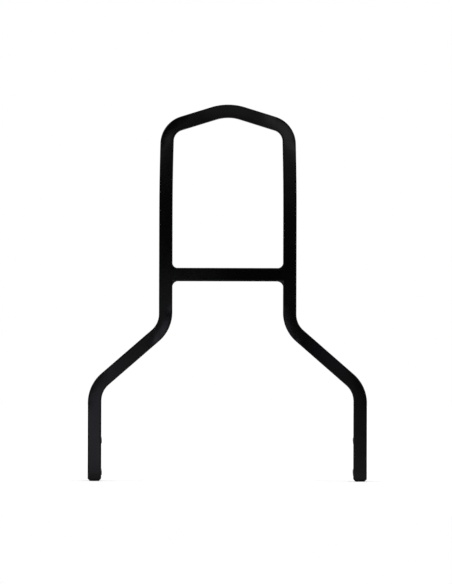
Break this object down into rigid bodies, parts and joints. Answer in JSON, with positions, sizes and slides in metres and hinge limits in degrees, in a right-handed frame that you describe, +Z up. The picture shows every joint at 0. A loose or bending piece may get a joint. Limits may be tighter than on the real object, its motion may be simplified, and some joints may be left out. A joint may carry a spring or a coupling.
{
  "type": "sissy bar",
  "caption": "Flat hoop of solid square bar with a low peak, a welded crossbar and splayed legs, bolted to side plates behind a motorcycle's passenger seat.",
  "frame": {"origin": "midway between the lower ends of the two legs, in the middle of the bar's thickness", "axes": "+X across the motorcycle, from one leg to the other; +Y along the motorcycle, through the bar's thickness; +Z up along the legs and uprights to the peak"},
  "size_m": [0.2636, 0.0128, 0.3556],
  "materials": {
    "black_coating": "gloss"
  },
  "bodies": {
    "root": {"bent_bar": "black_coating", "crossbar": "black_coating", "weld_left": "black_coating", "weld_right": "black_coating"}
  },
  "joints": []
}
